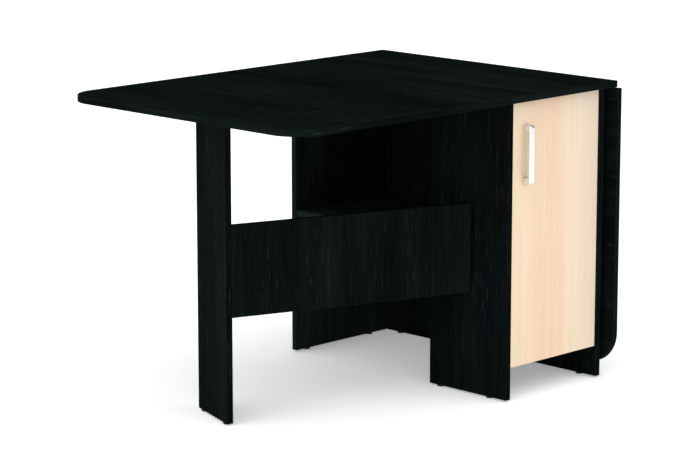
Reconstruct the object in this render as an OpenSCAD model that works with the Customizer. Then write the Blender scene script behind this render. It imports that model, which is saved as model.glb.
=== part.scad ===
// Gateleg table: a narrow cabinet under a fixed centre top, two drop leaves and two swinging gates.
// Built in millimetres. Modules are drawn from the near lower corner of the left side panel,
// then moved so that the origin is the middle of the outline on the floor.
// The left leaf is raised on its open gate. The right leaf hangs over its folded gate.

/* [Overall] */
// Height of the tabletop above the floor
table_h = 750; // [700:1:780]
// Width of the tabletop, along the hinge lines
table_w = 800; // [760:1:900]
// Length of the tabletop with both leaves raised
open_length = 1800; // [1600:1:2000]
// Thickness of every laminated board
board_t = 16; // [16:1:18]
// Bevel on the banded edges of a board
edge_bevel = 0.6; // [0.3:0.1:1]

/* [Cabinet] */
// Width of the cabinet across its side panels
body_w = 354; // [330:1:400]
// Length of the cabinet from its door end to its far end
body_l = 740; // [720:1:740]
// Depth of the short left side panel
left_panel_l = 252; // [230:1:280]
// Overhang of the top past the side panels
side_overhang = 19; // [19:1:24]
// Overhang of the top past the door end
door_overhang = 25; // [20:1:40]
// Gap under the panels, filled by the glides
foot_h = 4; // [2:1:6]
// Height of the cabinet's bottom board above the floor
bottom_z = 84; // [70:1:110]
// Height of the niche shelf's underside above the floor
niche_shelf_z = 359; // [340:1:400]

/* [Door] */
// Height of the door's lower edge above the floor
door_z = 81.5; // [60:0.5:100]
// Distance of the door's face behind the side panels' front edges
door_recess = 4; // [2:0.1:8]
// Gap around the door
door_gap = 1.5; // [1.5:0.1:3]
// Distance from the door's free edge to the handle's near side
handle_inset = 38.6; // [30:0.1:60]
// Width of the handle's strap
handle_w = 18; // [10:1:24]
// Distance between the handle's two screws
handle_pitch = 128; // [96:32:160]
// How far the handle stands off the door
handle_reach = 22; // [18:1:30]
// Height of the handle's middle above the floor
handle_z = 601; // [560:1:620]

/* [Leaves] */
// Gap between the centre top and a raised leaf
leaf_gap = 1.4; // [1.4:0.1:2]
// Corner radius at a leaf's free end
leaf_corner_r = 85; // [60:1:120]
// Length of one leaf hinge
leaf_hinge_l = 60; // [50:1:80]

/* [Gates] */
// Distance of a gate's pin from the cabinet's door end
gate_hinge_y = 122; // [110:1:130]
// Reach of a gate from its pin to the outside of its leg
gate_len = 648; // [640:1:650]
// Width of a gate's leg
leg_w = 170; // [140:1:172]
// Height of the rail's lower edge above the floor
rail_z = 258; // [240:1:300]
// Height of the rail
rail_h = 220; // [200:1:240]
// Gap between a folded rail and the side panel
gate_gap = 2.4; // [2.4:0.1:2.5]
// Opening of the left gate from its folded place, in degrees
gate_open = 70.5; // [0:0.5:90]

/* [Hidden] */
$fn = 48;
eps = 0.01;
clear = 0.05;

// Boards
under_top = table_h - board_t;
panel_h = under_top - foot_h;
inner_x0 = board_t;
inner_x1 = body_w - board_t;
inner_w = inner_x1 - inner_x0;
end_y = body_l - board_t;
back_y = left_panel_l - board_t;
top_x0 = -side_overhang;
top_w = body_w + 2 * side_overhang;
top_y0 = -door_overhang;
leaf_len = (open_length - top_w) / 2 - leaf_gap;
cab_front_gap = 1.2;
shelf_front_y = 40;
shelf_gap = 2;
niche_shelf_x0 = 2;

// Butt hinges
plate_t = 1;
neck_t = 0.6;
knuckle_gap = 0.3;
hinge_screws = 3;
hinge_stagger = 1.5;
wood_screw_r = 1.5;
wood_screw_l = 11;
wood_head_r = 2.6;
wood_head_h = 0.7;

// Leaf hinges: the pin is just inside the top's edge and just under the boards
leaf_knuckle_r = 2;
leaf_pin_r = 1;
leaf_drop = leaf_knuckle_r + 0.3;
leaf_axis_x = top_x0 + 1;
leaf_axis_z = under_top - leaf_drop;
leaf_face = leaf_drop - plate_t;
fixed_plate_w = 16;
moving_plate_w = 28;
leaf_hinge_ys = [75, 345, 615];

// Gate hinges: pin axis beside the side panel
gate_knuckle_r = 2.5;
gate_pin_r = 1.25;
gate_axis_x = -gate_knuckle_r - 0.4;
gate_plate_w = 28;
panel_face = -gate_axis_x - plate_t;
rail_face = gate_axis_x + gate_gap - plate_t;
gate_hinge_l = 60;
gate_hinge_zs = [rail_z + 24, rail_z + rail_h - 24 - gate_hinge_l];
rail_start = 3.2;
rail_t0 = -gate_axis_x - gate_gap - board_t;
rail_end = gate_len - board_t;
leg_top_gap = 0.4;

// Long carcass screws and their caps
carcass_shank_r = 3.4;
carcass_thread_r = 2.5;
carcass_head_r = 4.8;
carcass_head_h = 1.4;
carcass_l = 50;
cap_r = 6;
cap_h = 0.8;
bottom_screw_ys = [75, 190];
back_screw_zs = [160, 560, 700];
back_screw_xs = [80, 270];
shelf_screw_ys = [340, 640];
end_screw_zs = [60, 220, 600];
end_screw_xs = [60, 270];
rail_screw_in = 45;

// Glides
glide_r = 8.5;
glide_nail_r = 1.2;
glide_nail_l = 14;
glide_end = 60;
left_glide_ys = [60, 222];
end_glide_x = 45;
leg_glide_end = 20;

// Angle brackets under the top
bracket_leg = 24;
bracket_w = 18;
bracket_t = 1.6;
bracket_screw = 15;
left_bracket_ys = [70, 180];
right_bracket_ys = [70, 180, 420, 600];
end_bracket_xs = [60, 180, 290];

// Door
door_x0 = inner_x0 + door_gap;
door_w = inner_w - 2 * door_gap;
door_h = under_top - door_z - door_gap;
door_axis_x = door_x0 + door_w - 1;
door_back_y = door_recess + board_t;
cup_r = 17.5;
cup_depth = 11.5;
cup_wall = 1;
cup_edge = 22.5;
door_hinge_zs = [door_z + 90, door_z + door_h - 90];
cup_screw_x = 6;
cup_screw_z = 24;
flange_t = 1;
flange_rim = 1.5;
flange_x = 12;
flange_w = 14;
flange_l = 62;
link_w = 11;
link_outline = [[-2, -9.5], [0, -9.5], [0, 2], [9, 7], [9, 9], [7.5, 9], [-2, 3.5]];
arm_plate_t = 2;
arm_plate_y = 52;
arm_plate_w = 12;
arm_plate_l = 48;
arm_base_w = 14;
arm_base_l = 40;
arm_screw_z = 16;
arm_start = 11;
arm_l = 56;
arm_h = 14;
arm_w = 13;
arm_wall = 1.5;
arm_end = 8;
handle_x = door_x0 + handle_inset;
handle_l = handle_pitch + 16;
handle_bar_t = 6;
handle_foot_h = 16;
handle_gap_l = handle_l - 2 * handle_foot_h;
handle_screw_r = 2;
handle_head_r = 4;
handle_head_h = 2;
handle_thread = 9;
magnet_x = 30;
magnet_w = 46;
magnet_d = 14;
magnet_h = 16;
magnet_gap = 1.2;
strike_w = 24;
strike_drop = 2;
bumper_xs = [40, 300];
bumper_r = 4;
bumper_h = 1;

// Shelf supports
shelf_pin_r = 2.5;
shelf_pin_in = 9;
shelf_pin_out = 10;
shelf_pin_ys = [85, 200];

// Origin of the part: the middle of the outline at rest, on the floor
origin_x = (body_w / 2 - open_length / 2 + body_w - leaf_axis_x + leaf_drop + board_t) / 2;
origin_y = top_y0 + table_w / 2;

wenge = [0.06, 0.075, 0.078];
oak = [0.93, 0.83, 0.70];
steel = [0.72, 0.72, 0.73];
satin = [0.86, 0.87, 0.86];
dark_plastic = [0.05, 0.05, 0.055];
pale_plastic = [0.85, 0.84, 0.80];

// ---- Shared shapes ----

// Rectangle from the origin with its four corners cut at 45 degrees
module bevelled_rect(w, h, c) {
    polygon([[c, 0], [w - c, 0], [w, c], [w, h - c], [w - c, h], [c, h], [0, h - c], [0, c]]);
}

// Box from the origin whose twelve edges are bevelled
module board(size) {
    intersection() {
        linear_extrude(size[2]) bevelled_rect(size[0], size[1], edge_bevel);
        translate([0, size[1], 0]) rotate([90, 0, 0])
            linear_extrude(size[1]) bevelled_rect(size[0], size[2], edge_bevel);
        rotate([90, 0, 90])
            linear_extrude(size[0]) bevelled_rect(size[1], size[2], edge_bevel);
    }
}

// Turns +Z to point along +X, -X, +Y, -Y or -Z
module aim(dir) {
    if (dir == "+x") rotate([0, 90, 0]) children();
    if (dir == "-x") rotate([0, -90, 0]) children();
    if (dir == "+y") rotate([-90, 0, 0]) children();
    if (dir == "-y") rotate([90, 0, 0]) children();
    if (dir == "-z") rotate([180, 0, 0]) children();
    if (dir == "+z") children();
}

// Long screw from its head's outer face at the origin, going in along +Z
module carcass_screw() {
    cylinder(r = carcass_head_r, h = carcass_head_h);
    cylinder(r = carcass_shank_r, h = board_t);
    cylinder(r = carcass_thread_r, h = carcass_l);
}

module carcass_hole() {
    translate([0, 0, -1]) cylinder(r = carcass_head_r + clear, h = carcass_head_h + 1);
    cylinder(r = carcass_shank_r + clear, h = board_t + clear);
    cylinder(r = carcass_thread_r + clear, h = carcass_l + 1);
}

module carcass_cap() {
    translate([0, 0, -cap_h]) cylinder(r = cap_r, h = cap_h);
}

// Small flat-headed screw, from its head's face at the origin, going in along +Z
module wood_screw(l) {
    cylinder(r = wood_head_r, h = wood_head_h);
    cylinder(r = wood_screw_r, h = l);
}

module wood_hole(l) {
    translate([0, 0, -eps]) cylinder(r = wood_screw_r + clear, h = l + 1);
}

module wood_seat() {
    translate([0, 0, -1]) cylinder(r = wood_head_r + clear, h = wood_head_h + 1);
}

// One half of a butt hinge. The pin is on the Z axis and the plate runs along +X,
// from y = face to the board at y = face + plate_t. A thinner neck joins it to the knuckles.
module hinge_half(l, plate_w, kr, pr, face, is_outer) {
    seg = l / 3;
    cut = knuckle_gap / 2;
    spans = is_outer ? [[0, seg - cut], [2 * seg + cut, l]] : [[seg + cut, 2 * seg - cut]];
    difference() {
        union() {
            translate([kr + knuckle_gap, face, 0]) cube([plate_w - kr - knuckle_gap, plate_t, l]);
            for (s = spans) {
                translate([0, face, s[0]]) cube([kr + knuckle_gap + eps, neck_t, s[1] - s[0]]);
                translate([0, 0, s[0]]) cylinder(r = kr, h = s[1] - s[0]);
            }
        }
        translate([0, 0, -1]) cylinder(r = pr + clear, h = l + 2);
        at_plate_screws(l, plate_w, kr, face) union() {
            wood_seat();
            wood_hole(plate_t);
        }
    }
}

// Screw places on a hinge half, aimed into its board
module at_plate_screws(l, plate_w, kr, face) {
    for (i = [0 : hinge_screws - 1]) {
        stagger = i % 2 == 0 ? hinge_stagger : -hinge_stagger;
        translate([(plate_w + kr) / 2 + stagger, face, l * (i + 0.5) / hinge_screws])
            aim("+y") children();
    }
}

// ---- Places ----

module place() {
    translate([-origin_x, -origin_y, 0]) children();
}

// The left side is drawn, and the right side is its mirror image
module side(is_left) {
    if (is_left) children();
    else translate([body_w, 0, 0]) mirror([1, 0, 0]) children();
}

// A leaf is drawn raised on the left. The right one hangs.
module leaf_pose(is_left) {
    side(is_left)
        translate([leaf_axis_x, 0, leaf_axis_z])
            rotate([0, is_left ? 0 : -90, 0])
                translate([-leaf_axis_x, 0, -leaf_axis_z]) children();
}

// A gate is drawn folded, with its pin on the Z axis and its rail along +Y. The left one is open.
module gate_pose(is_left) {
    side(is_left)
        translate([gate_axis_x, gate_hinge_y, 0]) rotate([0, 0, is_left ? gate_open : 0]) children();
}

// Pin frames of the leaf hinges, plate towards the cabinet or towards the leaf
module at_leaf_hinges(to_leaf) {
    for (y = leaf_hinge_ys)
        if (to_leaf) translate([leaf_axis_x, y, leaf_axis_z]) rotate([90, 0, 180]) children();
        else translate([leaf_axis_x, y + leaf_hinge_l, leaf_axis_z]) rotate([90, 0, 0]) children();
}

// Pin frames of the gate hinges, from the gate's own frame
module at_gate_hinges(to_rail) {
    for (z = gate_hinge_zs)
        translate([0, 0, z]) mirror([to_rail ? 0 : 1, 0, 0]) rotate([0, 0, 90]) children();
}

module at_panel_hinges() {
    translate([gate_axis_x, gate_hinge_y, 0]) at_gate_hinges(false) children();
}

// ---- Screw places ----

module at_left_panel_screws() {
    for (y = bottom_screw_ys)
        translate([0, y, bottom_z + board_t / 2]) aim("+x") children();
    for (z = back_screw_zs)
        translate([0, left_panel_l - board_t / 2, z]) aim("+x") children();
}

module at_right_panel_screws() {
    for (y = bottom_screw_ys)
        translate([body_w, y, bottom_z + board_t / 2]) aim("-x") children();
    for (z = back_screw_zs)
        translate([body_w, left_panel_l - board_t / 2, z]) aim("-x") children();
    for (y = shelf_screw_ys)
        translate([body_w, y, niche_shelf_z + board_t / 2]) aim("-x") children();
    for (z = end_screw_zs)
        translate([body_w, end_y + board_t / 2, z]) aim("-x") children();
}

module at_end_panel_screws() {
    for (x = end_screw_xs)
        translate([x, body_l, niche_shelf_z + board_t / 2]) aim("-y") children();
}

module at_back_screws() {
    for (x = back_screw_xs)
        translate([x, back_y, niche_shelf_z + board_t / 2]) aim("+y") children();
}

module at_carcass_screws() {
    at_left_panel_screws() children();
    at_right_panel_screws() children();
    at_end_panel_screws() children();
    at_back_screws() children();
}

module at_gate_screws() {
    for (z = [rail_z + rail_screw_in, rail_z + rail_h - rail_screw_in])
        translate([rail_t0 + board_t / 2, gate_len, z]) aim("-y") children();
}

// Corners under the top, with the panel's face at x = 0 and the top at z = 0
module at_left_brackets() {
    for (y = left_bracket_ys)
        translate([inner_x0, y, under_top]) children();
}

module at_right_brackets() {
    for (y = right_bracket_ys)
        translate([inner_x1, y, under_top]) mirror([1, 0, 0]) children();
}

module at_end_brackets() {
    for (x = end_bracket_xs)
        translate([x, end_y, under_top]) rotate([0, 0, -90]) children();
}

module at_brackets() {
    at_left_brackets() children();
    at_right_brackets() children();
    at_end_brackets() children();
}

module to_bracket_panel() {
    translate([bracket_t, 0, -bracket_screw]) aim("-x") children();
}

module to_bracket_top() {
    translate([bracket_screw, 0, -bracket_t]) aim("+z") children();
}

// Glides, with the board's underside at z = 0
module at_left_glides() {
    for (y = left_glide_ys)
        translate([board_t / 2, y, foot_h]) children();
}

module at_right_glides() {
    for (y = [glide_end, body_l / 2, body_l - glide_end])
        translate([body_w - board_t / 2, y, foot_h]) children();
}

module at_end_glides() {
    for (x = [end_glide_x, inner_x1 - glide_end])
        translate([x, end_y + board_t / 2, foot_h]) children();
}

module at_leg_glides() {
    for (x = [rail_t0 + leg_glide_end, rail_t0 + leg_w - leg_glide_end])
        translate([x, gate_len - board_t / 2, foot_h]) children();
}

module glide() {
    translate([0, 0, -foot_h]) cylinder(r = glide_r, h = foot_h);
    cylinder(r = glide_nail_r, h = glide_nail_l);
}

module glide_hole() {
    translate([0, 0, -1]) cylinder(r = glide_nail_r + clear, h = glide_nail_l + 2);
}

module at_shelf_pins() {
    for (y = shelf_pin_ys) {
        translate([inner_x0, y, niche_shelf_z - shelf_pin_r - clear]) aim("+x") children();
        translate([inner_x1, y, niche_shelf_z - shelf_pin_r - clear]) aim("-x") children();
    }
}

module shelf_pin_hole() {
    translate([0, 0, -shelf_pin_in - clear])
        cylinder(r = shelf_pin_r + clear, h = shelf_pin_in + 1);
}

// Pilot holes behind the hinge plates
module fixed_leaf_holes() {
    at_leaf_hinges(false)
        at_plate_screws(leaf_hinge_l, fixed_plate_w, leaf_knuckle_r, leaf_face) wood_hole(wood_screw_l);
}

module moving_leaf_holes() {
    at_leaf_hinges(true)
        at_plate_screws(leaf_hinge_l, moving_plate_w, leaf_knuckle_r, leaf_face) wood_hole(wood_screw_l);
}

module fixed_gate_holes() {
    at_panel_hinges()
        at_plate_screws(gate_hinge_l, gate_plate_w, gate_knuckle_r, panel_face) wood_hole(wood_screw_l);
}

module moving_gate_holes() {
    at_gate_hinges(true)
        at_plate_screws(gate_hinge_l, gate_plate_w, gate_knuckle_r, rail_face) wood_hole(wood_screw_l);
}

// Door hinges: middle of the cup on the door's back face, and middle of the arm on the panel
module at_cups() {
    for (z = door_hinge_zs)
        translate([door_x0 + door_w - cup_edge, door_back_y, z]) children();
}

module at_cup_screws() {
    at_cups()
        for (z = [-cup_screw_z, cup_screw_z])
            translate([-cup_screw_x, flange_t, z]) aim("-y") children();
}

module at_arms() {
    for (z = door_hinge_zs)
        translate([inner_x1, door_back_y, z]) children();
}

module at_arm_screws() {
    at_arms()
        for (z = [-arm_screw_z, arm_screw_z])
            translate([-arm_plate_t, arm_plate_y, z]) aim("+x") children();
}

module at_handle_screws() {
    for (z = [-handle_pitch / 2, handle_pitch / 2])
        translate([handle_x + handle_w / 2, door_back_y, handle_z + z]) aim("-y") children();
}

// ---- Cabinet ----

module side_panel_left() color(wenge) place() difference() {
    translate([0, 0, foot_h]) board([board_t, left_panel_l, panel_h]);
    at_left_panel_screws() carcass_hole();
    at_left_brackets() to_bracket_panel() wood_hole(wood_screw_l);
    at_left_glides() glide_hole();
    at_shelf_pins() shelf_pin_hole();
    fixed_gate_holes();
}

module side_panel_right() color(wenge) place() difference() {
    translate([inner_x1, 0, foot_h]) board([board_t, body_l, panel_h]);
    at_right_panel_screws() carcass_hole();
    at_right_brackets() to_bracket_panel() wood_hole(wood_screw_l);
    at_right_glides() glide_hole();
    at_shelf_pins() shelf_pin_hole();
    at_arm_screws() wood_hole(wood_screw_l);
    side(false) fixed_gate_holes();
}

module end_panel() color(wenge) place() difference() {
    translate([0, end_y, foot_h]) board([inner_x1, board_t, panel_h]);
    at_end_panel_screws() carcass_hole();
    at_right_panel_screws() carcass_hole();
    at_end_brackets() to_bracket_panel() wood_hole(wood_screw_l);
    at_end_glides() glide_hole();
}

module cabinet_back() color(wenge) place() difference() {
    translate([inner_x0, back_y, bottom_z]) board([inner_w, board_t, under_top - bottom_z]);
    at_left_panel_screws() carcass_hole();
    at_right_panel_screws() carcass_hole();
    at_back_screws() carcass_hole();
}

module cabinet_bottom() color(wenge) place() difference() {
    translate([inner_x0, door_back_y + cab_front_gap, bottom_z])
        board([inner_w, back_y - door_back_y - cab_front_gap, board_t]);
    at_left_panel_screws() carcass_hole();
    at_right_panel_screws() carcass_hole();
}

module cabinet_shelf() color(wenge) place()
    translate([inner_x0 + shelf_gap / 2, shelf_front_y, niche_shelf_z])
        board([inner_w - shelf_gap, back_y - shelf_gap - shelf_front_y, board_t]);

module shelf_pins() color(steel) place() at_shelf_pins() {
    translate([0, 0, -shelf_pin_in]) cylinder(r = shelf_pin_r, h = shelf_pin_in + shelf_pin_out);
}

module niche_shelf() color(wenge) place() difference() {
    translate([niche_shelf_x0, left_panel_l, niche_shelf_z])
        board([inner_x1 - niche_shelf_x0, end_y - left_panel_l, board_t]);
    at_right_panel_screws() carcass_hole();
    at_end_panel_screws() carcass_hole();
    at_back_screws() carcass_hole();
}

module top_center() color(wenge) place() difference() {
    translate([top_x0, top_y0, under_top]) board([top_w, table_w, board_t]);
    at_brackets() to_bracket_top() wood_hole(wood_screw_l);
    fixed_leaf_holes();
    side(false) fixed_leaf_holes();
}

module top_brackets() color(pale_plastic) place() at_brackets() difference() {
    union() {
        translate([0, -bracket_w / 2, -bracket_leg]) cube([bracket_t, bracket_w, bracket_leg]);
        translate([0, -bracket_w / 2, -bracket_t]) cube([bracket_leg, bracket_w, bracket_t]);
    }
    to_bracket_panel() union() {
        wood_seat();
        wood_hole(bracket_t);
    }
    to_bracket_top() union() {
        wood_seat();
        wood_hole(bracket_t);
    }
}

module bracket_screws() color(steel) place() at_brackets() {
    to_bracket_panel() wood_screw(wood_screw_l);
    to_bracket_top() wood_screw(wood_screw_l);
}

module carcass_screws() color(steel) place() at_carcass_screws() carcass_screw();

module carcass_caps() color(dark_plastic) place() at_carcass_screws() carcass_cap();

module cabinet_glides() color(dark_plastic) place() {
    at_left_glides() glide();
    at_right_glides() glide();
    at_end_glides() glide();
}

// ---- Door hinges and catch ----

module door_arms() color(steel) place() at_arms() difference() {
    union() {
        translate([-arm_plate_t, arm_plate_y - arm_plate_w / 2, -arm_plate_l / 2])
            cube([arm_plate_t, arm_plate_w, arm_plate_l]);
        translate([-arm_plate_t, arm_plate_y - arm_base_l / 2, -arm_base_w / 2])
            cube([arm_plate_t, arm_base_l, arm_base_w]);
        translate([-arm_h, arm_start, -arm_w / 2]) cube([arm_h - arm_plate_t, arm_l, arm_w]);
    }
    translate([-arm_h + arm_wall, arm_start - 1, -arm_w / 2 + arm_wall])
        cube([arm_h - 2 * arm_plate_t - arm_wall, arm_l - arm_end, arm_w - 2 * arm_wall]);
    for (z = [-arm_screw_z, arm_screw_z])
        translate([-arm_plate_t, arm_plate_y, z]) aim("+x") union() {
            wood_seat();
            wood_hole(arm_plate_t);
        }
}

module door_arm_screws() color(steel) place() at_arm_screws() wood_screw(wood_screw_l);

module door_magnet() color(pale_plastic) place()
    translate([magnet_x, door_back_y + magnet_gap, under_top - magnet_h])
        cube([magnet_w, magnet_d, magnet_h]);

// ---- Hinges on the cabinet ----

module leaf_hinge_fixed(is_left) color(steel) place() side(is_left)
    at_leaf_hinges(false)
        hinge_half(leaf_hinge_l, fixed_plate_w, leaf_knuckle_r, leaf_pin_r, leaf_face, true);

module leaf_hinge_pins(is_left) color(steel) place() side(is_left)
    at_leaf_hinges(false) cylinder(r = leaf_pin_r, h = leaf_hinge_l);

module gate_hinge_fixed(is_left) color(steel) place() side(is_left)
    at_panel_hinges()
        hinge_half(gate_hinge_l, gate_plate_w, gate_knuckle_r, gate_pin_r, panel_face, true);

module gate_hinge_pins(is_left) color(steel) place() side(is_left)
    at_panel_hinges() cylinder(r = gate_pin_r, h = gate_hinge_l);

module fixed_hinge_screws(is_left) color(steel) place() side(is_left) {
    at_leaf_hinges(false)
        at_plate_screws(leaf_hinge_l, fixed_plate_w, leaf_knuckle_r, leaf_face) wood_screw(wood_screw_l);
    at_panel_hinges()
        at_plate_screws(gate_hinge_l, gate_plate_w, gate_knuckle_r, panel_face) wood_screw(wood_screw_l);
}

// ---- Leaves ----

// Disc with bevelled rims, for a rounded corner of a leaf
module bevelled_disc(r, h, c) {
    rotate_extrude($fn = 96)
        polygon([[0, 0], [r - c, 0], [r, c], [r, h - c], [r - c, h], [0, h]]);
}

// Raised leaf on the left: hinge edge towards +X, rounded corners at the free end
module leaf_board() {
    x1 = top_x0 - leaf_gap;
    x0 = x1 - leaf_len;
    r = leaf_corner_r;
    intersection() {
        union() {
            for (y = [top_y0 + r, top_y0 + table_w - r])
                translate([x0 + r, y, under_top]) bevelled_disc(r, board_t, edge_bevel);
            translate([x0, top_y0 + table_w - r, under_top]) rotate([90, 0, 0])
                linear_extrude(table_w - 2 * r) bevelled_rect(2 * r, board_t, edge_bevel);
            translate([x0 + r, top_y0, under_top]) rotate([90, 0, 90])
                linear_extrude(leaf_len - r) bevelled_rect(table_w, board_t, edge_bevel);
        }
        translate([x0, top_y0 + table_w + 1, under_top]) rotate([90, 0, 0])
            linear_extrude(table_w + 2) bevelled_rect(leaf_len, board_t, edge_bevel);
    }
}

module leaf(is_left) color(wenge) place() leaf_pose(is_left) difference() {
    leaf_board();
    moving_leaf_holes();
}

module leaf_hinge(is_left) color(steel) place() leaf_pose(is_left)
    at_leaf_hinges(true)
        hinge_half(leaf_hinge_l, moving_plate_w, leaf_knuckle_r, leaf_pin_r, leaf_face, false);

module leaf_hinge_screws(is_left) color(steel) place() leaf_pose(is_left)
    at_leaf_hinges(true)
        at_plate_screws(leaf_hinge_l, moving_plate_w, leaf_knuckle_r, leaf_face) wood_screw(wood_screw_l);

// ---- Gates ----

module gate_rail(is_left) color(wenge) place() gate_pose(is_left) difference() {
    translate([rail_t0, rail_start, rail_z]) board([board_t, rail_end - rail_start, rail_h]);
    at_gate_screws() carcass_hole();
    moving_gate_holes();
}

module gate_leg(is_left) color(wenge) place() gate_pose(is_left) difference() {
    translate([rail_t0, rail_end, foot_h]) board([leg_w, board_t, panel_h - leg_top_gap]);
    at_gate_screws() carcass_hole();
    at_leg_glides() glide_hole();
}

module gate_screws(is_left) color(steel) place() gate_pose(is_left)
    at_gate_screws() carcass_screw();

module gate_caps(is_left) color(dark_plastic) place() gate_pose(is_left)
    at_gate_screws() carcass_cap();

module gate_glides(is_left) color(dark_plastic) place() gate_pose(is_left)
    at_leg_glides() glide();

module gate_hinge(is_left) color(steel) place() gate_pose(is_left)
    at_gate_hinges(true)
        hinge_half(gate_hinge_l, gate_plate_w, gate_knuckle_r, gate_pin_r, rail_face, false);

module gate_hinge_screws(is_left) color(steel) place() gate_pose(is_left)
    at_gate_hinges(true)
        at_plate_screws(gate_hinge_l, gate_plate_w, gate_knuckle_r, rail_face) wood_screw(wood_screw_l);

// ---- Door ----

module door_panel() color(oak) place() difference() {
    translate([door_x0, door_recess, door_z]) board([door_w, board_t, door_h]);
    at_cups() translate([0, 1, 0]) aim("-y") cylinder(r = cup_r, h = cup_depth + 1);
    at_cup_screws() wood_hole(wood_screw_l);
    at_handle_screws() translate([0, 0, -1]) cylinder(r = handle_screw_r + clear, h = board_t + 2);
}

module door_hinge_cups() color(steel) place() at_cups() difference() {
    union() {
        aim("-y") cylinder(r = cup_r - clear, h = cup_depth - clear);
        aim("+y") cylinder(r = cup_r + flange_rim, h = flange_t);
        translate([-flange_x, 0, -flange_l / 2]) cube([flange_w, flange_t, flange_l]);
    }
    translate([0, flange_t + 1, 0]) aim("-y")
        cylinder(r = cup_r - cup_wall, h = cup_depth + flange_t - cup_wall + 1);
    for (z = [-cup_screw_z, cup_screw_z])
        translate([-cup_screw_x, flange_t, z]) aim("-y") union() {
            wood_seat();
            wood_hole(flange_t);
        }
}

// Swing links of the door hinges, bent steel straps that stay with the cups
module door_hinge_links() color(steel) place() at_cups()
    translate([0, 0, -link_w / 2]) linear_extrude(link_w) polygon(link_outline);

module door_cup_screws() color(steel) place() at_cup_screws() wood_screw(wood_screw_l - 1);

module door_handle() color(satin) place() difference() {
    translate([handle_x, door_recess - handle_reach, handle_z - handle_l / 2])
        board([handle_w, handle_reach, handle_l]);
    translate([handle_x - 1, door_recess - handle_reach + handle_bar_t, handle_z - handle_gap_l / 2])
        cube([handle_w + 2, handle_reach, handle_gap_l]);
    at_handle_screws() cylinder(r = handle_screw_r + clear, h = board_t + handle_thread + 1);
}

module handle_screws() color(steel) place() at_handle_screws() {
    translate([0, 0, -handle_head_h]) cylinder(r = handle_head_r, h = handle_head_h);
    cylinder(r = handle_screw_r, h = board_t + handle_thread);
}

module door_strike_plate() color(steel) place()
    translate([magnet_x + (magnet_w - strike_w) / 2, door_back_y, under_top - magnet_h])
        cube([strike_w, flange_t, magnet_h - door_gap - strike_drop]);

module door_bumpers() color(pale_plastic) place()
    for (x = bumper_xs)
        translate([x, door_back_y, bottom_z + board_t / 2]) aim("+y")
            cylinder(r = bumper_r, h = bumper_h);

// ---- Nodes ----

side_panel_left();
side_panel_right();
end_panel();
cabinet_back();
cabinet_bottom();
cabinet_shelf();
shelf_pins();
niche_shelf();
top_center();
top_brackets();
bracket_screws();
carcass_screws();
carcass_caps();
cabinet_glides();
door_arms();
door_arm_screws();
door_magnet();
leaf_hinge_fixed(true);  // leaf_hinge_fixed_left
leaf_hinge_pins(true);  // leaf_hinge_pins_left
leaf_hinge_fixed(false);  // leaf_hinge_fixed_right
leaf_hinge_pins(false);  // leaf_hinge_pins_right
gate_hinge_fixed(true);  // gate_hinge_fixed_left
gate_hinge_pins(true);  // gate_hinge_pins_left
gate_hinge_fixed(false);  // gate_hinge_fixed_right
gate_hinge_pins(false);  // gate_hinge_pins_right
fixed_hinge_screws(true);  // fixed_hinge_screws_left
fixed_hinge_screws(false);  // fixed_hinge_screws_right
leaf(true);  // leaf_left
leaf_hinge(true);  // leaf_hinge_left
leaf_hinge_screws(true);  // leaf_hinge_screws_left
leaf(false);  // leaf_right
leaf_hinge(false);  // leaf_hinge_right
leaf_hinge_screws(false);  // leaf_hinge_screws_right
gate_rail(true);  // gate_rail_left
gate_leg(true);  // gate_leg_left
gate_screws(true);  // gate_screws_left
gate_caps(true);  // gate_caps_left
gate_glides(true);  // gate_glides_left
gate_hinge(true);  // gate_hinge_left
gate_hinge_screws(true);  // gate_hinge_screws_left
gate_rail(false);  // gate_rail_right
gate_leg(false);  // gate_leg_right
gate_screws(false);  // gate_screws_right
gate_caps(false);  // gate_caps_right
gate_glides(false);  // gate_glides_right
gate_hinge(false);  // gate_hinge_right
gate_hinge_screws(false);  // gate_hinge_screws_right
door_panel();
door_hinge_cups();
door_hinge_links();
door_cup_screws();
door_handle();
handle_screws();
door_strike_plate();
door_bumpers();
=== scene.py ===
import math

import bmesh
import bpy
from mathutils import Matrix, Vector


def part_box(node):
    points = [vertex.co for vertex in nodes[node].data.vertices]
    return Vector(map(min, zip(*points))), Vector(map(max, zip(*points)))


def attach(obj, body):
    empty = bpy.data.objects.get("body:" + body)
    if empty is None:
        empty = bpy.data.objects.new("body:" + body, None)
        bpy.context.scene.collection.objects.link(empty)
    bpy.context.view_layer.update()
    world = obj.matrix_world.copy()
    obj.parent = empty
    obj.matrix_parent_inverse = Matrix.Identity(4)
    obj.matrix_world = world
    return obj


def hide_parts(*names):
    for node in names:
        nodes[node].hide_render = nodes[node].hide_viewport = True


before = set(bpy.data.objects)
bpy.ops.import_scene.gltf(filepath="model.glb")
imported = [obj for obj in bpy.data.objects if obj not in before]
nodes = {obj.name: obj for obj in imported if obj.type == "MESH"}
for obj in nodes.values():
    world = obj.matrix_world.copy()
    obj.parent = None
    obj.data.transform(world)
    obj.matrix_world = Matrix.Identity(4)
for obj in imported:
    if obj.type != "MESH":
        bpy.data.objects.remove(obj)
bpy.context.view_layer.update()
scene = bpy.context.scene

MM = 0.001


# ---- Node helpers ----

def new_material(name):
    mat = bpy.data.materials.new(name)
    mat.use_nodes = True
    mat.node_tree.nodes.clear()
    return mat, mat.node_tree


def add(tree, kind, **settings):
    made = tree.nodes.new(kind)
    for key, value in settings.items():
        setattr(made, key, value)
    return made


def object_place(tree):
    return add(tree, "ShaderNodeTexCoord").outputs["Object"]


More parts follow.
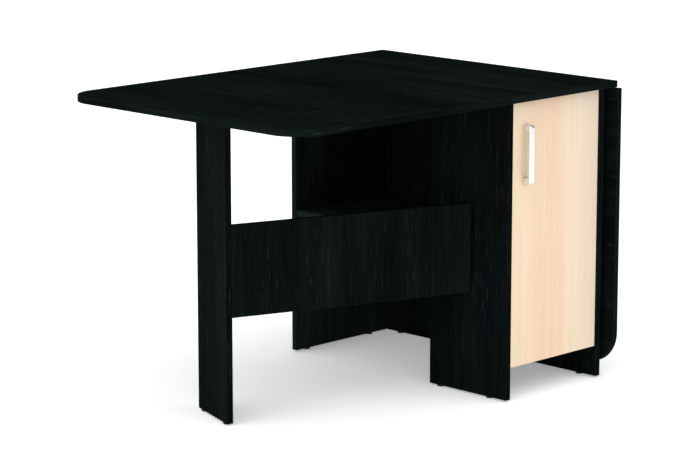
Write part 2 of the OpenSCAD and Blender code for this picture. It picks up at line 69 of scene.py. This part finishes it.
def math_node(tree, operation, *values):
    """A Math node whose inputs are sockets or plain numbers."""
    made = add(tree, "ShaderNodeMath", operation=operation)
    for socket, value in zip(made.inputs, values):
        if isinstance(value, (int, float)):
            socket.default_value = value
        else:
            tree.links.new(value, socket)
    return made.outputs[0]


def weighted(tree, a, a_share, b, b_share):
    return math_node(tree, "MULTIPLY_ADD", a, a_share, math_node(tree, "MULTIPLY", b, b_share))


def mapping(tree, vector, scale, turn=0.0, shift=(0, 0, 0)):
    """The vector turned about Z, then scaled and shifted."""
    turned = add(tree, "ShaderNodeMapping", vector_type="POINT")
    turned.inputs["Rotation"].default_value = (0, 0, turn)
    tree.links.new(vector, turned.inputs["Vector"])
    made = add(tree, "ShaderNodeMapping", vector_type="POINT")
    made.inputs["Scale"].default_value = scale
    made.inputs["Location"].default_value = shift
    tree.links.new(turned.outputs[0], made.inputs["Vector"])
    return made.outputs[0]


def noise(tree, vector, detail, rough=0.5, distortion=0.0):
    """Noise with one cell to each unit of the vector, which mapping has already scaled."""
    made = add(tree, "ShaderNodeTexNoise", noise_dimensions="3D")
    made.inputs["Scale"].default_value = 1.0
    made.inputs["Detail"].default_value = detail
    made.inputs["Roughness"].default_value = rough
    made.inputs["Distortion"].default_value = distortion
    tree.links.new(vector, made.inputs["Vector"])
    return made.outputs["Fac"]


def even_noise(tree, cells, detail, rough=0.5):
    """Noise with the same number of cells a metre in every direction."""
    return noise(tree, mapping(tree, object_place(tree), (cells, cells, cells)), detail, rough)


def ramp(tree, value, stops):
    """Value turned into a colour by stops of (place, colour)."""
    made = add(tree, "ShaderNodeValToRGB")
    while len(made.color_ramp.elements) < len(stops):
        made.color_ramp.elements.new(0.5)
    for element, (place, colour) in zip(made.color_ramp.elements, stops):
        element.position = place
        element.color = (*colour, 1)
    tree.links.new(value, made.inputs["Fac"])
    return made.outputs["Color"]


def spread(tree, value, low, high, to_low=0.0, to_high=1.0):
    """Value taken from low..high to to_low..to_high, clamped, with soft ends."""
    made = add(tree, "ShaderNodeMapRange", interpolation_type="SMOOTHSTEP")
    made.inputs["From Min"].default_value = low
    made.inputs["From Max"].default_value = high
    made.inputs["To Min"].default_value = to_low
    made.inputs["To Max"].default_value = to_high
    tree.links.new(value, made.inputs["Value"])
    return made.outputs["Result"]


def toward(tree, colour, factor, shade):
    """The colour moved towards a fixed shade by the factor."""
    made = add(tree, "ShaderNodeMix", data_type="RGBA", blend_type="MIX")
    tree.links.new(factor, made.inputs[0])
    tree.links.new(colour, made.inputs[6])
    made.inputs[7].default_value = (*shade, 1)
    return made.outputs[2]


def stain(tree, colour, mask, strength, shade):
    """The colour moved towards a shade where the mask is, by no more than the strength."""
    return toward(tree, colour, math_node(tree, "MULTIPLY", mask, strength), shade)


def finish_material(mat, tree, colour, rough, relief=None, specular=0.5, metallic=0.0, glow=0.0):
    """Relief is the bump's height socket, its depth in metres and its strength."""
    shader = add(tree, "ShaderNodeBsdfPrincipled")
    out = add(tree, "ShaderNodeOutputMaterial")
    tree.links.new(colour, shader.inputs["Base Color"])
    tree.links.new(rough, shader.inputs["Roughness"])
    shader.inputs["Specular IOR Level"].default_value = specular
    shader.inputs["Metallic"].default_value = metallic
    shader.inputs["Emission Strength"].default_value = glow
    if relief is not None:
        height, depth, strength = relief
        bump = add(tree, "ShaderNodeBump")
        bump.inputs["Strength"].default_value = strength
        bump.inputs["Distance"].default_value = depth
        tree.links.new(height, bump.inputs["Height"])
        tree.links.new(bump.outputs[0], shader.inputs["Normal"])
    tree.links.new(shader.outputs[0], out.inputs["Surface"])
    return mat


# ---- Laminated boards ----

SEED_SHIFT = (3.7, 1.9, 2.3)  # how far one step of the seed moves a board's noise
EDGE_FACING = 0.6  # a surface that faces the thin axis by less than this is a board's edge
ARRIS_FACING = (0.3, 0.95)  # and between these it is a bevelled arris
GRAIN_DEPTH = 0.12 * MM
LINE_HEIGHT = 0.5
PORE_HEIGHT = 0.8

# Features of the laminates, as cells of noise a metre across and along the grain
ARRIS_PATCHES = (40, 40)
WENGE_CLOUDS = (5, 1.8)
WENGE_BANDS = (16, 1.1)
WENGE_STREAKS = (150, 4)
WENGE_LINES = (620, 9)
WENGE_TICKS = (330, 17)
WENGE_POROUS = (11, 3)
WENGE_SMEARS = (6, 4)
OAK_SWAY = (6, 0.9)
OAK_STREAKS = (95, 1.2)
OAK_LINES = (620, 6)
OAK_TICKS = (330, 13)

WENGE_DARK = (0.0016, 0.0029, 0.0029)
WENGE_MID = (0.0036, 0.0061, 0.0060)
WENGE_LIGHT = (0.0084, 0.0118, 0.0115)
WENGE_PORE = (0.021, 0.029, 0.027)
# lighter colour for wenge arrises: partly wear, partly a painted edge highlight
WENGE_WEAR_AND_HIGHLIGHT = (0.020, 0.022, 0.020)
WENGE_STOPS = (0.47, 0.62, 0.80)
WENGE_SPECULAR = 0.0013  # a normal level mirrors the pale floor and turns the boards grey

OAK_STRAW = (0.735, 0.590, 0.405)
OAK_CREAM = (0.725, 0.565, 0.410)
OAK_PINK = (0.720, 0.515, 0.370)
OAK_LILAC = (0.705, 0.575, 0.450)
OAK_PALE = (0.670, 0.535, 0.415)
OAK_LINE = (0.625, 0.460, 0.315)
OAK_LIGHT = (0.765, 0.640, 0.490)
OAK_PORE = (0.530, 0.405, 0.265)
# The door's broad bands from its free edge to its hinged edge, as shares of its width
OAK_BANDS = [(0.00, OAK_STRAW), (0.16, OAK_CREAM), (0.34, OAK_PINK), (0.56, OAK_PINK),
             (0.64, OAK_STRAW), (0.78, OAK_LILAC), (1.00, OAK_PALE)]
OAK_WANDER = 0.22  # how far the bands wander sideways, as a share of the width


def grain_scale(axis, across, along):
    return tuple(along if key == axis else across for key in "xyz")


def board_coordinates(tree, grain, thin, turn, seed):
    """A picker of grain coordinates, and how far the surface faces along the thin axis.
    The grain runs along the board on its faces, and along the band on its edges, so that
    it stays unbroken round a corner."""
    source = add(tree, "ShaderNodeTexCoord")
    place = source.outputs["Object"]
    normal = add(tree, "ShaderNodeMapping", vector_type="VECTOR")
    normal.inputs["Rotation"].default_value = (0, 0, turn)
    tree.links.new(source.outputs["Normal"], normal.inputs["Vector"])
    parts = add(tree, "ShaderNodeSeparateXYZ")
    tree.links.new(normal.outputs[0], parts.inputs[0])
    facing = math_node(tree, "ABSOLUTE", parts.outputs["xyz".index(thin)])
    is_edge = math_node(tree, "LESS_THAN", facing, EDGE_FACING)
    shift = tuple(seed * step for step in SEED_SHIFT)

    def pick(feature):
        across, along = feature
        faces = mapping(tree, place, grain_scale(grain, across, along), turn, shift)
        edges = mapping(tree, place, grain_scale(thin, along, across), turn, shift)
        picked = add(tree, "ShaderNodeMix", data_type="VECTOR")
        tree.links.new(is_edge, picked.inputs[0])
        tree.links.new(faces, picked.inputs[4])
        tree.links.new(edges, picked.inputs[5])
        return picked.outputs[1]

    return pick, facing


def arris_wear_and_highlight(tree, pick, facing):
    """1 on the bevelled arrises of a board, broken up so that it looks handled. On wenge it lightens
    the arrises as wear and as a painted edge highlight; on oak it darkens them as wear.
    """
    low, high = ARRIS_FACING
    is_arris = math_node(tree, "MULTIPLY", math_node(tree, "GREATER_THAN", facing, low),
                         math_node(tree, "LESS_THAN", facing, high))
    patches = spread(tree, noise(tree, pick(ARRIS_PATCHES), detail=3, rough=0.6), 0.40, 0.66)
    return math_node(tree, "MULTIPLY", is_arris, patches)


def grain_height(tree, lines, pores):
    """Fine lines stand up from the board and pores sink into it."""
    return math_node(tree, "SUBTRACT", math_node(tree, "MULTIPLY", lines, LINE_HEIGHT),
                     math_node(tree, "MULTIPLY", pores, PORE_HEIGHT))


def wenge(name, grain, thin, seed, turn=0.0, tone=1.0):
    """Near-black wenge laminate; tone lightens or darkens one board against the others, and is used to
    paint light or shade into that board's colour.
    """
    mat, tree = new_material(name)
    pick, facing = board_coordinates(tree, grain, thin, turn, seed)
    clouds = noise(tree, pick(WENGE_CLOUDS), detail=2)
    bands = noise(tree, pick(WENGE_BANDS), detail=2.5, distortion=0.5)
    streaks = noise(tree, pick(WENGE_STREAKS), detail=4, rough=0.6, distortion=0.3)
    lines = noise(tree, pick(WENGE_LINES), detail=3, rough=0.6)
    ticks = noise(tree, pick(WENGE_TICKS), detail=1, rough=0.4)
    broad = weighted(tree, clouds, 0.30, bands, 0.30)
    fine = weighted(tree, streaks, 0.34, lines, 0.30)
    shades = [tuple(tone * level for level in shade) for shade in (WENGE_DARK, WENGE_MID, WENGE_LIGHT)]
    colour = ramp(tree, math_node(tree, "ADD", broad, fine), list(zip(WENGE_STOPS, shades)))
    is_porous = spread(tree, noise(tree, pick(WENGE_POROUS), detail=1), 0.42, 0.58)
    pores = math_node(tree, "MULTIPLY", spread(tree, ticks, 0.65, 0.74), is_porous)
    colour = stain(tree, colour, pores, 0.55, WENGE_PORE)
    # painted edge highlight: the arrises are lightened partly as wear and partly as a highlight
    # painted on them
    colour = stain(tree, colour, arris_wear_and_highlight(tree, pick, facing), 0.45, WENGE_WEAR_AND_HIGHLIGHT)
    smears = noise(tree, pick(WENGE_SMEARS), detail=3, rough=0.6)
    rough = math_node(tree, "ADD", spread(tree, smears, 0.3, 0.7, 0.36, 0.46),
                      math_node(tree, "MULTIPLY", lines, 0.08))
    relief = (grain_height(tree, lines, pores), GRAIN_DEPTH, 0.5)
    return finish_material(mat, tree, colour, rough, relief, specular=WENGE_SPECULAR)


def oak(name, left, right):
    """Pale oak laminate with its bands laid out between two edges of the door, in metres."""
    mat, tree = new_material(name)
    pick, facing = board_coordinates(tree, "z", "y", turn=0.0, seed=1)
    parts = add(tree, "ShaderNodeSeparateXYZ")
    tree.links.new(object_place(tree), parts.inputs[0])
    width = right - left
    across = math_node(tree, "MULTIPLY_ADD", parts.outputs["X"], 1 / width, -left / width)
    sway = noise(tree, pick(OAK_SWAY), detail=2)
    centred = math_node(tree, "SUBTRACT", across, OAK_WANDER / 2)
    colour = ramp(tree, math_node(tree, "MULTIPLY_ADD", sway, OAK_WANDER, centred), OAK_BANDS)
    streaks = noise(tree, pick(OAK_STREAKS), detail=4, rough=0.6, distortion=0.2)
    colour = toward(tree, colour, spread(tree, streaks, 0.50, 0.76, 0.0, 0.38), OAK_LINE)
    colour = toward(tree, colour, spread(tree, streaks, 0.50, 0.26, 0.0, 0.38), OAK_LIGHT)
    lines = noise(tree, pick(OAK_LINES), detail=3, rough=0.6)
    colour = toward(tree, colour, spread(tree, lines, 0.55, 0.75, 0.0, 0.22), OAK_LINE)
    pores = spread(tree, noise(tree, pick(OAK_TICKS), detail=1), 0.68, 0.76)
    colour = stain(tree, colour, pores, 0.40, OAK_PORE)
    colour = stain(tree, colour, arris_wear_and_highlight(tree, pick, facing), 0.4, OAK_PORE)
    rough = math_node(tree, "MULTIPLY_ADD", lines, 0.16, 0.34)
    relief = (grain_height(tree, lines, pores), GRAIN_DEPTH, 0.35)
    return finish_material(mat, tree, colour, rough, relief, specular=0.35)


# ---- Metals and plastics ----

# Features of the metals and plastics, as cells of noise a metre
BRUSHED_LINES = (2600, 45)  # across and along the lines
BRUSHED_BLOTCH = 60
ZINC_SPANGLE = 700
ZINC_CLOUD = 90
MOULD_FINE = 2200
MOULD_CLOUD = 120

ZINC_DARK = (0.42, 0.43, 0.44)
ZINC_LIGHT = (0.74, 0.75, 0.77)


def brushed(name, colour_low, colour_high, axis, rough_low, rough_high):
    """Drawn or brushed metal with fine lines along an axis."""
    mat, tree = new_material(name)
    lines = noise(tree, mapping(tree, object_place(tree), grain_scale(axis, *BRUSHED_LINES)), 3, 0.7)
    blotch = even_noise(tree, BRUSHED_BLOTCH, 3, 0.6)
    tone = weighted(tree, lines, 0.7, blotch, 0.3)
    colour = ramp(tree, tone, [(0.30, colour_low), (0.70, colour_high)])
    rough = spread(tree, tone, 0.30, 0.70, rough_low, rough_high)
    return finish_material(mat, tree, colour, rough, (lines, 0.03 * MM, 0.35), metallic=1.0)


def zinc(name):
    """Zinc plating: bright, slightly blue grey, with soft spangle and a little dulling."""
    mat, tree = new_material(name)
    cells = add(tree, "ShaderNodeTexVoronoi", feature="F1")
    cells.inputs["Scale"].default_value = ZINC_SPANGLE
    tree.links.new(object_place(tree), cells.inputs["Vector"])
    cloud = even_noise(tree, ZINC_CLOUD, 4, 0.65)
    tone = weighted(tree, cells.outputs["Color"], 0.35, cloud, 0.65)
    colour = ramp(tree, tone, [(0.25, ZINC_DARK), (0.75, ZINC_LIGHT)])
    rough = spread(tree, tone, 0.25, 0.75, 0.42, 0.26)
    return finish_material(mat, tree, colour, rough, (cloud, 0.05 * MM, 0.3), metallic=1.0)


def moulded(name, low, high, rough_low, rough_high, specular):
    """Moulded plastic with a fine spark-eroded texture."""
    mat, tree = new_material(name)
    fine = even_noise(tree, MOULD_FINE, 2)
    cloud = even_noise(tree, MOULD_CLOUD, 3, 0.6)
    colour = ramp(tree, cloud, [(0.3, low), (0.7, high)])
    rough = spread(tree, cloud, 0.3, 0.7, rough_low, rough_high)
    return finish_material(mat, tree, colour, rough, (fine, 0.04 * MM, 0.4), specular=specular)


# ---- Which node has which material ----

GATE_TURN = math.radians(-70.5)  # takes the open left gate's coordinates to its folded place


def give(material, *names):
    for name in names:
        for slot in nodes[name].material_slots:
            slot.material = material


# Each board's grain axis, thin axis and seed, and its turn and tone where it has them. A tone lightens
# or darkens one board's colours; where noted below it is painted light or painted shade
# tone 0.70 is painted shade: the left side panel is darkened against the fill light that falls on it
give(wenge("wenge_side_left", "z", "x", 1, tone=0.70), "side_panel_left")
give(wenge("wenge_side_right", "z", "x", 2), "side_panel_right")
# tone 1.9 is painted light: the end panel is lightened where the niche is lit too little
give(wenge("wenge_end", "z", "y", 3, tone=1.9), "end_panel")
give(wenge("wenge_back", "z", "y", 4), "cabinet_back")
give(wenge("wenge_shelves", "x", "z", 5), "cabinet_bottom", "cabinet_shelf")
# tone 3.0 is painted light: the niche shelf is lightened where the niche is lit too little
give(wenge("wenge_niche_shelf", "y", "z", 6, tone=3.0), "niche_shelf")
give(wenge("wenge_top", "y", "z", 7), "top_center")
give(wenge("wenge_leaf_left", "y", "z", 8), "leaf_left")
give(wenge("wenge_leaf_right", "y", "x", 9, tone=1.05), "leaf_right")
# tone 0.86 is painted shade: the open gate's rail is darkened as if in the leaf's shade
give(wenge("wenge_rail_left", "z", "x", 10, GATE_TURN, tone=0.86), "gate_rail_left")
# tone 0.80 is painted shade: the open gate's leg is darkened against the light it catches
give(wenge("wenge_leg_left", "z", "y", 11, GATE_TURN, tone=0.80), "gate_leg_left")
give(wenge("wenge_rail_right", "z", "x", 12), "gate_rail_right")
give(wenge("wenge_leg_right", "z", "y", 13), "gate_leg_right")
door_low, door_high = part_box("door_panel")
give(oak("oak_door", door_low.x, door_high.x), "door_panel")

satin = brushed("satin_aluminium", (0.76, 0.77, 0.76), (0.90, 0.905, 0.89), "z", 0.26, 0.38)
plated = zinc("zinc_plate")
dark_plastic = moulded("dark_plastic", (0.010, 0.011, 0.011), (0.022, 0.023, 0.023), 0.45, 0.6, 0.3)
board_plastic = moulded("board_plastic", (0.0016, 0.0038, 0.0037), (0.0032, 0.0066, 0.0062),
                        0.5, 0.6, 0.006)
pale_plastic = moulded("pale_plastic", (0.62, 0.61, 0.57), (0.74, 0.73, 0.69), 0.35, 0.5, 0.5)

give(plated, "shelf_pins", "bracket_screws", "carcass_screws", "door_arms", "door_arm_screws",
     "door_hinge_cups", "door_hinge_links", "door_cup_screws", "handle_screws", "door_strike_plate")
give(dark_plastic, "cabinet_glides")
give(board_plastic, "carcass_caps")
give(pale_plastic, "top_brackets", "door_magnet", "door_bumpers")
for side in ("left", "right"):
    give(plated, f"leaf_hinge_fixed_{side}", f"leaf_hinge_pins_{side}", f"gate_hinge_fixed_{side}",
         f"gate_hinge_pins_{side}", f"fixed_hinge_screws_{side}", f"leaf_hinge_{side}",
         f"leaf_hinge_screws_{side}", f"gate_screws_{side}", f"gate_hinge_{side}",
         f"gate_hinge_screws_{side}")
    give(dark_plastic, f"gate_glides_{side}")
    give(board_plastic, f"gate_caps_{side}")


# ---- Handle ----

STRAP_T = 6 * MM
HANDLE_FOOT_H = 16 * MM
OUTER_R = 7 * MM
INNER_R = 2.5 * MM
ARC_STEPS = 8
ARRIS_W = 1.6 * MM
ARRIS_STEPS = 4
ARRIS_ANGLE = math.radians(50)  # bends sharper than this are softened


def arc(centre, radius, start, end):
    """Points of an arc in the YZ plane, angles in degrees from +Y towards +Z."""
    points = []
    for i in range(ARC_STEPS + 1):
        angle = math.radians(start + (end - start) * i / ARC_STEPS)
        points.append((centre[0] + radius * math.cos(angle), centre[1] + radius * math.sin(angle)))
    return points


def strap_outline(low, high):
    """The strap's side view, as (y, z) points round its box."""
    gap_low, gap_high = low.z + HANDLE_FOOT_H, high.z - HANDLE_FOOT_H
    outer_y = low.y + OUTER_R
    inner_y = low.y + STRAP_T + INNER_R
    return [(high.y, low.z),
            *arc((outer_y, low.z + OUTER_R), OUTER_R, 270, 180),
            *arc((outer_y, high.z - OUTER_R), OUTER_R, 180, 90),
            (high.y, high.z),
            (high.y, gap_high),
            *arc((inner_y, gap_high - INNER_R), INNER_R, 90, 180),
            *arc((inner_y, gap_low + INNER_R), INNER_R, 180, 270),
            (high.y, gap_low)]


def strap_handle():
    """The door's handle: one bent strap with round corners and soft arrises."""
    low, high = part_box("door_handle")
    build = bmesh.new()
    ring = [build.verts.new((low.x, y, z)) for y, z in strap_outline(low, high)]
    side = build.faces.new(ring)
    pushed = bmesh.ops.extrude_face_region(build, geom=[side])["geom"]
    moved = [item for item in pushed if isinstance(item, bmesh.types.BMVert)]
    bmesh.ops.translate(build, verts=moved, vec=(high.x - low.x, 0, 0))
    bmesh.ops.recalc_face_normals(build, faces=build.faces)
    mesh = bpy.data.meshes.new("strap_handle")
    build.to_mesh(mesh)
    build.free()
    made = bpy.data.objects.new("strap_handle", mesh)
    scene.collection.objects.link(made)
    soften = made.modifiers.new("soft_arrises", "BEVEL")
    soften.width = ARRIS_W
    soften.segments = ARRIS_STEPS
    soften.limit_method = "ANGLE"
    soften.angle_limit = ARRIS_ANGLE
    for face in mesh.polygons:
        face.use_smooth = True
    mesh.materials.append(satin)
    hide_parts("door_handle")
    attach(made, "door")


strap_handle()


# ---- Floor, lights and camera ----

FLOOR_HALF = 40.0
FLOOR_CLOUD = 1.5  # cells of noise a metre
FLOOR_GLOW = 0.28  # keeps the table's shadow pale
SKY_LIGHT = 1.85
SKY_TOWARD = (-0.36, -0.35, 0.866)  # the sky's brightest direction
SKY_FADE = (-0.05, 0.75)  # facing that direction, from dark to bright
BACKDROP_LIGHT = 1.0
SENSOR_W = 36.0  # mm, as is the lens
LENS = 144.18411
CLIP_END = 200.0
CAMERA_PLACE = (-4.7727, -4.7144, 1.7526)
CAMERA_DOWN = 11.499  # degrees below level
CAMERA_TURN = -45.412  # degrees about Z from looking along +Y


def floor():
    mesh = bpy.data.meshes.new("floor")
    corners = [(-1, -1), (1, -1), (1, 1), (-1, 1)]
    mesh.from_pydata([(FLOOR_HALF * x, FLOOR_HALF * y, 0) for x, y in corners], [], [(0, 1, 2, 3)])
    made = bpy.data.objects.new("floor", mesh)
    scene.collection.objects.link(made)
    mat, tree = new_material("floor_paint")
    cloud = even_noise(tree, FLOOR_CLOUD, 3)
    colour = ramp(tree, cloud, [(0.3, (0.92, 0.92, 0.92)), (0.7, (0.94, 0.94, 0.94))])
    rough = spread(tree, cloud, 0.3, 0.7, 0.8, 0.9)
    mesh.materials.append(finish_material(mat, tree, colour, rough, specular=0.0, glow=FLOOR_GLOW))


def soft_box(name, place, target, size, power):
    light = bpy.data.lights.new(name, "AREA")
    light.shape = "RECTANGLE"
    light.size, light.size_y = size
    light.energy = power
    made = bpy.data.objects.new(name, light)
    made.location = place
    aim = Vector(target) - Vector(place)
    made.rotation_euler = aim.to_track_quat("-Z", "Y").to_euler()
    scene.collection.objects.link(made)


def sky():
    """Soft light from above and behind the camera. Straight views of it show the pale backdrop."""
    world = bpy.data.worlds.new("studio")
    scene.world = world
    world.use_nodes = True
    tree = world.node_tree
    tree.nodes.clear()
    facing = add(tree, "ShaderNodeVectorMath", operation="DOT_PRODUCT")
    tree.links.new(add(tree, "ShaderNodeTexCoord").outputs["Generated"], facing.inputs[0])
    facing.inputs[1].default_value = Vector(SKY_TOWARD).normalized()
    level = spread(tree, facing.outputs["Value"], *SKY_FADE, 0.0, SKY_LIGHT)
    lighting = add(tree, "ShaderNodeBackground")
    tree.links.new(level, lighting.inputs["Strength"])
    backdrop = add(tree, "ShaderNodeBackground")
    backdrop.inputs["Strength"].default_value = BACKDROP_LIGHT
    rays = add(tree, "ShaderNodeLightPath")
    chosen = add(tree, "ShaderNodeMixShader")
    tree.links.new(rays.outputs["Is Camera Ray"], chosen.inputs[0])
    tree.links.new(lighting.outputs[0], chosen.inputs[1])
    tree.links.new(backdrop.outputs[0], chosen.inputs[2])
    out = add(tree, "ShaderNodeOutputWorld")
    tree.links.new(chosen.outputs[0], out.inputs["Surface"])


floor()
sky()
soft_box("key_door", place=(2.2, -4.6, 2.6), target=(0.2, -0.3, 0.4), size=(3.0, 2.4), power=19)
soft_box("fill_left", place=(-4.6, 0.6, 1.3), target=(0.1, 0.2, 0.35), size=(2.6, 2.0), power=45)

camera_data = bpy.data.cameras.new("camera")
camera_data.sensor_width = SENSOR_W
camera_data.lens = LENS
camera_data.clip_end = CLIP_END
camera = bpy.data.objects.new("camera", camera_data)
camera.location = CAMERA_PLACE
camera.rotation_euler = (math.radians(90 - CAMERA_DOWN), 0, math.radians(CAMERA_TURN))
scene.collection.objects.link(camera)
scene.camera = camera
scene.view_settings.view_transform = "Standard"
